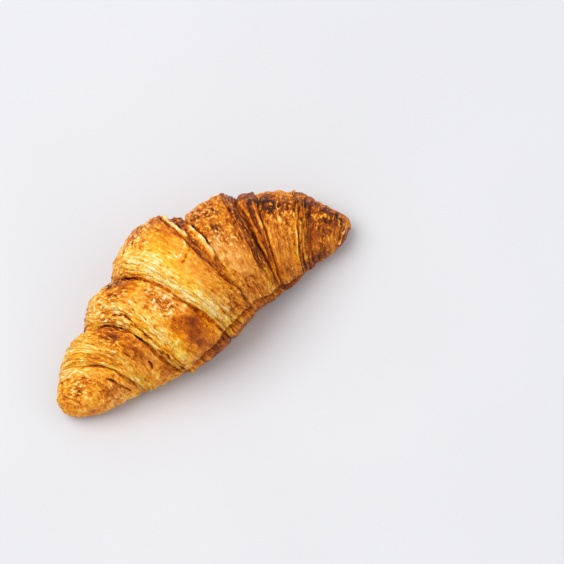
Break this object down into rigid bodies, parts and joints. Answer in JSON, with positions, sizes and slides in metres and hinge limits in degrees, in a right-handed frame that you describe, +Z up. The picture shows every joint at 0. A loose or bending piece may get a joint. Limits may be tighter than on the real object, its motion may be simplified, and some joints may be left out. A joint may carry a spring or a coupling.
{
  "type": "croissant",
  "caption": "Baked crescent-shaped butter croissant with wrapped, laminated dough bands, rounded tips and a flat base that rests on a plate.",
  "frame": {"origin": "middle of the bounding box in plan, on the flat base", "axes": "+X along the chord from the left tip to the right tip, +Y towards the outside of the bend, +Z up from the base"},
  "size_m": [0.1502, 0.0656, 0.0479],
  "materials": {
    "baked_dough": "egg-washed flaky crust, golden to dark brown, satin with a soft gloss on the crests"
  },
  "bodies": {
    "root": {"croissant": "baked_dough"}
  },
  "joints": []
}
